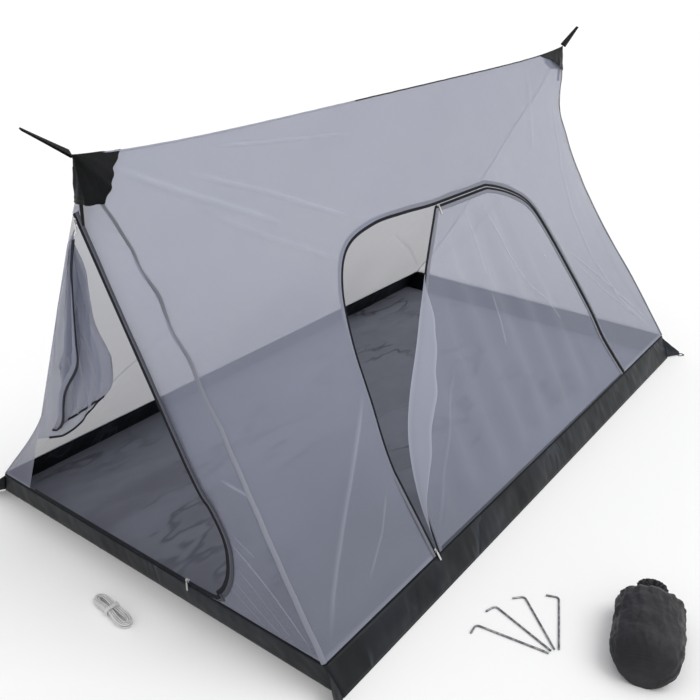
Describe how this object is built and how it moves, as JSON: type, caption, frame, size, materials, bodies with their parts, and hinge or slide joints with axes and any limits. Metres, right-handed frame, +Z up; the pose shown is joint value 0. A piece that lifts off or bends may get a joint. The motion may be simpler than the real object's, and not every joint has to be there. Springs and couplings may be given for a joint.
{
  "type": "mosquito net tent",
  "caption": "Hanging mosquito net tent with a shallow tub floor, a zipped side door and a zipped end door, shown with its loose pegs, guy rope and stuff sack",
  "frame": {"origin": "centre of the groundsheet's underside, on the ground", "axes": "+X runs along the ridge towards the far end, -Y is the side with the big side door, +Z is up"},
  "size_m": [2.5165, 1.8696, 1.2105],
  "materials": {
    "mesh_net": "fine knitted polyester mosquito mesh",
    "net_binding": "doubled mesh turned over a narrow tape",
    "coated_floor": "coated plain weave floor fabric, creased",
    "coated_wall": "the floor fabric's outside, turned up as a tub",
    "binding_tape": "folded woven tape",
    "hood_cloth": "coated black plain weave",
    "webbing": "woven black webbing and cord",
    "zip_nylon": "nylon coil on a woven tape",
    "nickel": "nickel plated zinc casting",
    "peg_steel": "dark drawn steel wire",
    "rope": "white braided polyester cord",
    "sack_nylon": "thin charcoal nylon, gathered"
  },
  "bodies": {
    "root": {"groundsheet": "coated_floor", "tub_wall_front": "coated_wall", "tub_wall_back": "coated_wall", "tub_wall_near": "coated_wall", "tub_wall_far": "coated_wall", "tub_binding": "binding_tape", "corner_ear_near_front": "coated_wall", "corner_ear_near_back": "coated_wall", "corner_ear_far_front": "coated_wall", "corner_ear_far_back": "coated_wall", "peg_loop_near_front": "webbing", "peg_loop_near_back": "webbing", "peg_loop_far_front": "webbing", "peg_loop_far_back": "webbing", "front_slope_net": "mesh_net", "back_slope_net": "mesh_net", "near_end_left_net": "mesh_net", "near_end_right_net": "mesh_net", "far_end_net": "mesh_net", "corner_seam_near_front": "net_binding", "corner_seam_near_back": "net_binding", "corner_seam_far_front": "net_binding", "corner_seam_far_back": "net_binding", "ridge_binding": "binding_tape", "side_zip_frame": "zip_nylon", "end_zip_frame": "zip_nylon", "near_peak_hood": "hood_cloth", "far_peak_hood": "hood_cloth", "near_hang_strap": "webbing", "far_hang_strap": "webbing", "near_tail_strap": "webbing", "far_tail_strap": "webbing", "peg_1": "peg_steel", "peg_2": "peg_steel", "peg_3": "peg_steel", "peg_4": "peg_steel", "guy_rope_hank": "rope", "stuff_sack": "sack_nylon", "sack_drawcord": "webbing"},
    "side_door": {"side_door_net": "mesh_net", "side_zip_flap": "zip_nylon", "side_door_fold": "mesh_net"},
    "side_top_slider": {"side_top_slider": "nickel"},
    "side_top_pull": {"side_top_pull": "nickel"},
    "side_low_slider": {"side_low_slider": "nickel"},
    "side_low_pull": {"side_low_pull": "nickel"},
    "end_door": {"end_door_net": "mesh_net", "end_zip_flap": "zip_nylon"},
    "end_top_slider": {"end_top_slider": "nickel"},
    "end_top_pull": {"end_top_pull": "nickel"},
    "end_low_slider": {"end_low_slider": "nickel"},
    "end_low_pull": {"end_low_pull": "nickel"}
  },
  "joints": [
    {"name": "side_door_swing", "type": "hinge", "parent": "root", "child": "side_door", "pos_m": [0, -0.5875, 0.08], "axis": [1, 0, 0], "range_deg": [0, 110]},
    {"name": "side_top_slide", "type": "slide", "parent": "side_door", "child": "side_top_slider", "axis": [0.9999, -0.0111, -0.0032], "range_m": [0, 0.24]},
    {"name": "side_top_pull_lift", "type": "hinge", "parent": "side_top_slider", "child": "side_top_pull", "pos_m": [-0.05116, -0.18041, 0.79153], "axis": [-0.9999, 0.0111, 0.0032], "range_deg": [0, 150]},
    {"name": "side_low_slide", "type": "slide", "parent": "root", "child": "side_low_slider", "axis": [-0.093, 0.504, 0.8587], "range_m": [0, 0.23]},
    {"name": "side_low_pull_lift", "type": "hinge", "parent": "side_low_slider", "child": "side_low_pull", "pos_m": [-0.64068, -0.58378, 0.09503], "axis": [-0.9957, -0.047, -0.0802], "range_deg": [0, 150]},
    {"name": "end_door_swing", "type": "hinge", "parent": "root", "child": "end_door", "pos_m": [-1.14818, 0.04054, 0.96476], "axis": [0.049, 0.4336, -0.8998], "range_deg": [-60, 60]},
    {"name": "end_top_slide", "type": "slide", "parent": "root", "child": "end_top_slider", "axis": [0.0491, -0.4285, -0.9022], "range_m": [0, 0.55]},
    {"name": "end_top_pull_lift", "type": "hinge", "parent": "end_top_slider", "child": "end_top_pull", "pos_m": [-1.15189, 0.0296, 0.95307], "axis": [-0.0211, 0.9998, 0], "range_deg": [0, 150]},
    {"name": "end_low_slide", "type": "slide", "parent": "root", "child": "end_low_slider", "axis": [0, 1, 0], "range_m": [0, 0.58]},
    {"name": "end_low_pull_lift", "type": "hinge", "parent": "end_low_slider", "child": "end_low_pull", "pos_m": [-1.10518, -0.16975, 0.09161], "axis": [0, 1, 0], "range_deg": [0, 150]}
  ]
}
